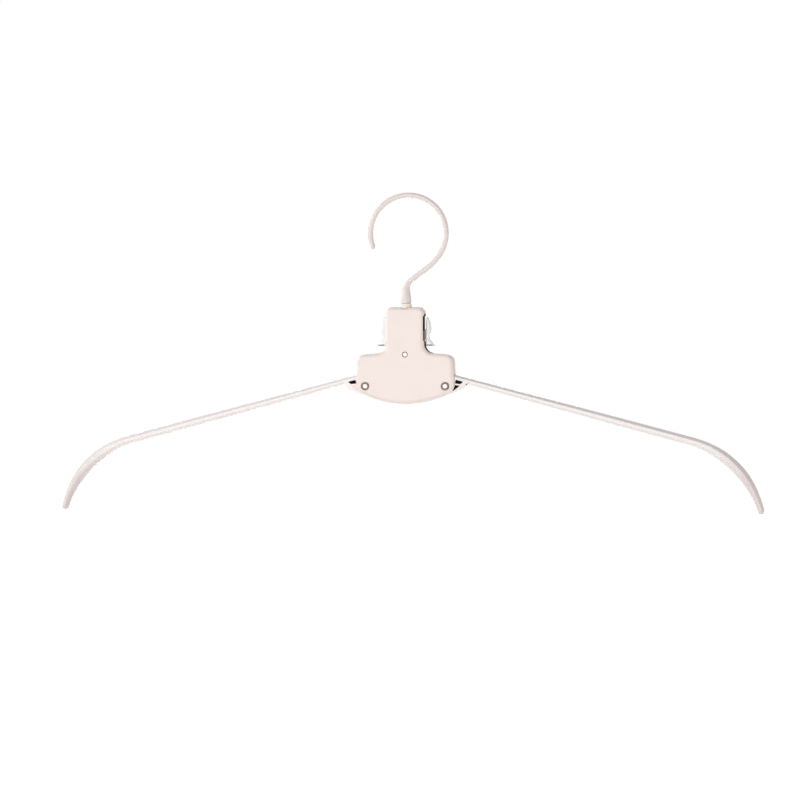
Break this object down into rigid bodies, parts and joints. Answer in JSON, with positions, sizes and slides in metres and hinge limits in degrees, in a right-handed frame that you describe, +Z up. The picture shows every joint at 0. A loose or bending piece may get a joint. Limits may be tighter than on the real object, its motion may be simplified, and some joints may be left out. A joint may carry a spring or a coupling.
{
  "type": "folding clothes hanger",
  "caption": "Clothes hanger with a turning hook, a small flat casing and curved arms that fold down when the finger tabs beside its neck are squeezed.",
  "frame": {"origin": "the point of the hook's inner surface that rests on the rod, straight above the hook's turning axis", "axes": "+X to the right along the arms as seen from the front, -Y the front, +Z up"},
  "size_m": [0.411, 0.012, 0.1853],
  "materials": {
    "hook_plastic": "satin moulded",
    "bush_plastic": "satin moulded",
    "hook_ring_steel": "dark burnished",
    "front_cover_plastic": "satin moulded",
    "back_cover_plastic": "satin moulded",
    "right_arm_plastic": "satin moulded",
    "left_arm_plastic": "satin moulded",
    "right_lever_plastic": "satin moulded",
    "left_lever_plastic": "satin moulded",
    "lever_spring_steel": "drawn wire",
    "sleeve_plastic": "matt",
    "centre_pin_steel": "nickel plated",
    "right_arm_pin_steel": "nickel plated",
    "left_arm_pin_steel": "nickel plated",
    "right_pin_ring_steel": "dark burnished",
    "left_pin_ring_steel": "dark burnished",
    "upper_screw_steel": "zinc plated",
    "lower_screw_steel": "zinc plated"
  },
  "bodies": {
    "hook": {"hook": "hook_plastic", "hook_retaining_ring": "hook_ring_steel"},
    "casing": {"hook_bush": "bush_plastic", "front_cover": "front_cover_plastic", "back_cover": "back_cover_plastic", "lever_spring": "lever_spring_steel", "spring_sleeve": "sleeve_plastic", "centre_pin": "centre_pin_steel", "right_arm_pin": "right_arm_pin_steel", "left_arm_pin": "left_arm_pin_steel", "right_arm_pin_ring": "right_pin_ring_steel", "left_arm_pin_ring": "left_pin_ring_steel", "upper_cover_screw": "upper_screw_steel", "lower_cover_screw": "lower_screw_steel"},
    "right_arm": {"right_arm": "right_arm_plastic"},
    "left_arm": {"left_arm": "left_arm_plastic"},
    "right_lever": {"right_lever": "right_lever_plastic"},
    "left_lever": {"left_lever": "left_lever_plastic"}
  },
  "joints": [
    {"name": "hook_swivel", "type": "hinge", "parent": "hook", "child": "casing", "pos_m": [0, 0, -0.06137], "axis": [0, 0, 1], "continuous": true},
    {"name": "right_arm_fold", "type": "hinge", "parent": "casing", "child": "right_arm", "pos_m": [0.0233, 0, -0.10897], "axis": [0, 1, 0], "range_deg": [0, 70], "stiffness_Nm_per_rad": 0.03, "springref_deg": -68.75},
    {"name": "left_arm_fold", "type": "hinge", "parent": "casing", "child": "left_arm", "pos_m": [-0.0233, 0, -0.10897], "axis": [0, -1, 0], "range_deg": [0, 70], "stiffness_Nm_per_rad": 0.03, "springref_deg": -68.75},
    {"name": "right_lever_squeeze", "type": "hinge", "parent": "casing", "child": "right_lever", "pos_m": [0, 0, -0.09067], "axis": [0, -1, 0], "range_deg": [0, 13.5], "deforming": ["lever_spring"]},
    {"name": "left_lever_squeeze", "type": "hinge", "parent": "casing", "child": "left_lever", "pos_m": [0, 0, -0.09067], "axis": [0, 1, 0], "range_deg": [0, 13.5], "deforming": ["lever_spring"]}
  ],
  "couplings": [
    {"joint": "right_lever_squeeze", "follows": "right_arm_fold", "ratio": 0.19231},
    {"joint": "left_lever_squeeze", "follows": "left_arm_fold", "ratio": 0.19231}
  ]
}
